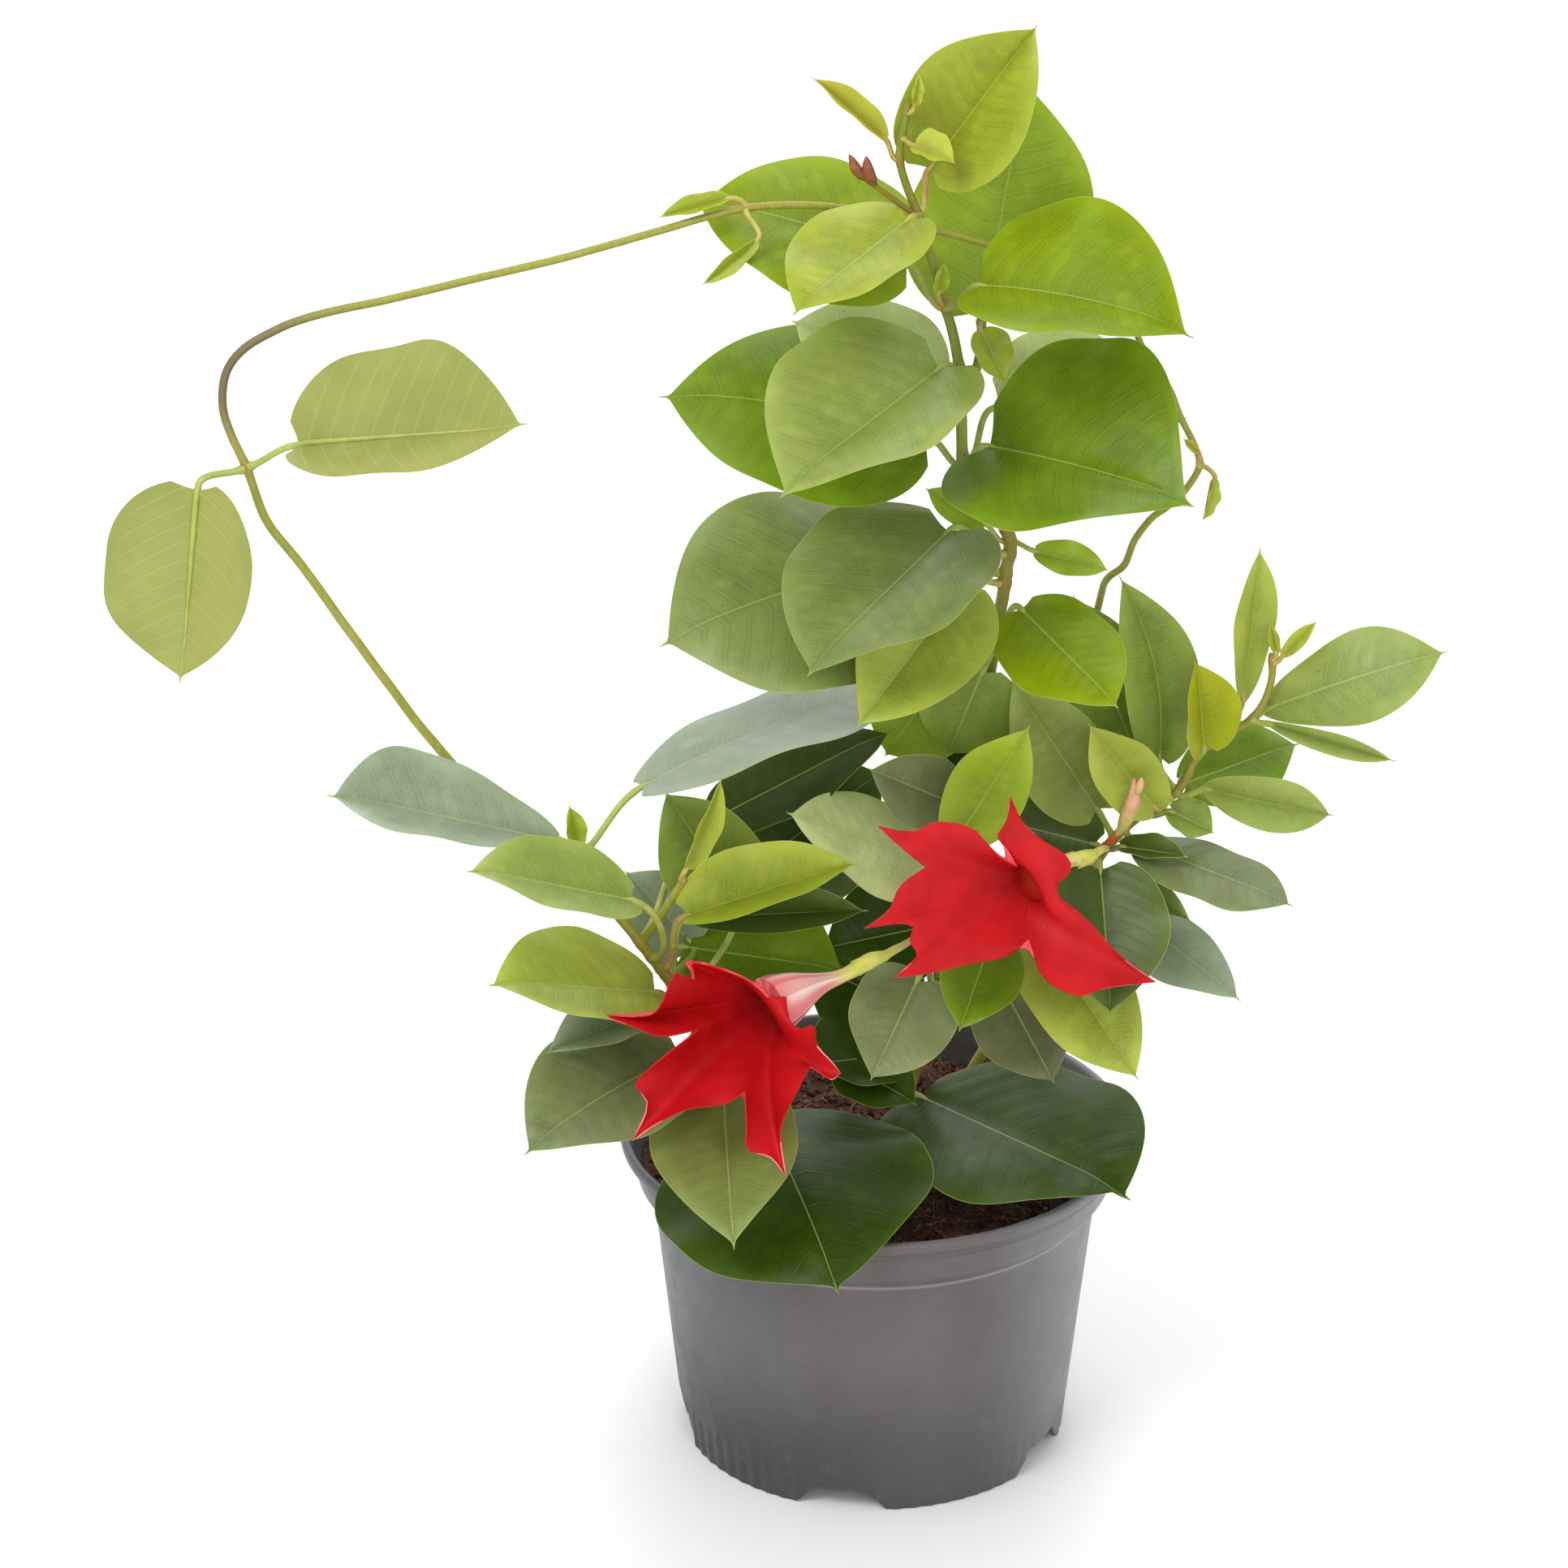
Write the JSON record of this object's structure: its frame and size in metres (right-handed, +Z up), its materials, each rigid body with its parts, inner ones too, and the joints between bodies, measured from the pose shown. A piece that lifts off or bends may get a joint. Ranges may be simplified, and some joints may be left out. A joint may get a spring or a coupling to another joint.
{
  "type": "potted mandevilla",
  "caption": "Young flowering mandevilla in a round nursery pot, with twining stems, an arching runner, glossy oval leaves and red trumpet flowers.",
  "frame": {"origin": "centre of the ring that the pot stands on, at floor level", "axes": "+Z up along the pot's axis; -Y is the front, the side the flowers face"},
  "size_m": [0.373, 0.1732, 0.431],
  "materials": {
    "pot": "satin moulded polypropylene, taupe grey",
    "soil": "loose moist peat with fibres and pale grains",
    "stem": "smooth green bark, olive to reddish brown",
    "leaf": "waxy gloss with pale veins",
    "petal": "soft satin petal, red",
    "calyx": "waxy yellow-green",
    "bud": "waxy red-brown"
  },
  "bodies": {
    "root": {"bud_right": "bud", "bud_top": "bud", "calyx_left": "calyx", "calyx_right": "calyx", "corolla_left": "petal", "corolla_right": "petal", "leaf_centre_left": "leaf", "leaf_centre_young": "leaf", "leaf_crown_back": "leaf", "leaf_crown_far_left": "leaf", "leaf_crown_left": "leaf", "leaf_crown_right": "leaf", "leaf_crown_top": "leaf", "leaf_inner_high": "leaf", "leaf_inner_low": "leaf", "leaf_left_far": "leaf", "leaf_left_inner": "leaf", "leaf_left_long": "leaf", "leaf_left_low": "leaf", "leaf_left_second": "leaf", "leaf_left_third": "leaf", "leaf_left_under": "leaf", "leaf_left_upright": "leaf", "leaf_low_centre": "leaf", "leaf_low_dark": "leaf", "leaf_low_far_right": "leaf", "leaf_low_grey": "leaf", "leaf_low_left": "leaf", "leaf_low_right": "leaf", "leaf_low_young": "leaf", "leaf_middle_far_left": "leaf", "leaf_middle_hanging": "leaf", "leaf_middle_inner": "leaf", "leaf_middle_left": "leaf", "leaf_middle_right": "leaf", "leaf_middle_right_back": "leaf", "leaf_orange_tinted": "leaf", "leaf_right_back": "leaf", "leaf_right_curled": "leaf", "leaf_right_low": "leaf", "leaf_right_narrow": "leaf", "leaf_right_top": "leaf", "leaf_right_upright": "leaf", "leaf_rim_front": "leaf", "leaf_rim_large": "leaf", "leaf_rim_right": "leaf", "leaf_runner_left": "leaf", "leaf_runner_right": "leaf", "leaf_slim_inner": "leaf", "leaf_tall_right": "leaf", "leaf_upper_back": "leaf", "leaf_upper_far_left": "leaf", "leaf_upper_far_right": "leaf", "leaf_upper_left": "leaf", "leaf_upper_right": "leaf", "pot": "pot", "soil": "soil", "stem_left": "stem", "stem_main": "stem", "stem_right": "stem"}
  },
  "joints": []
}
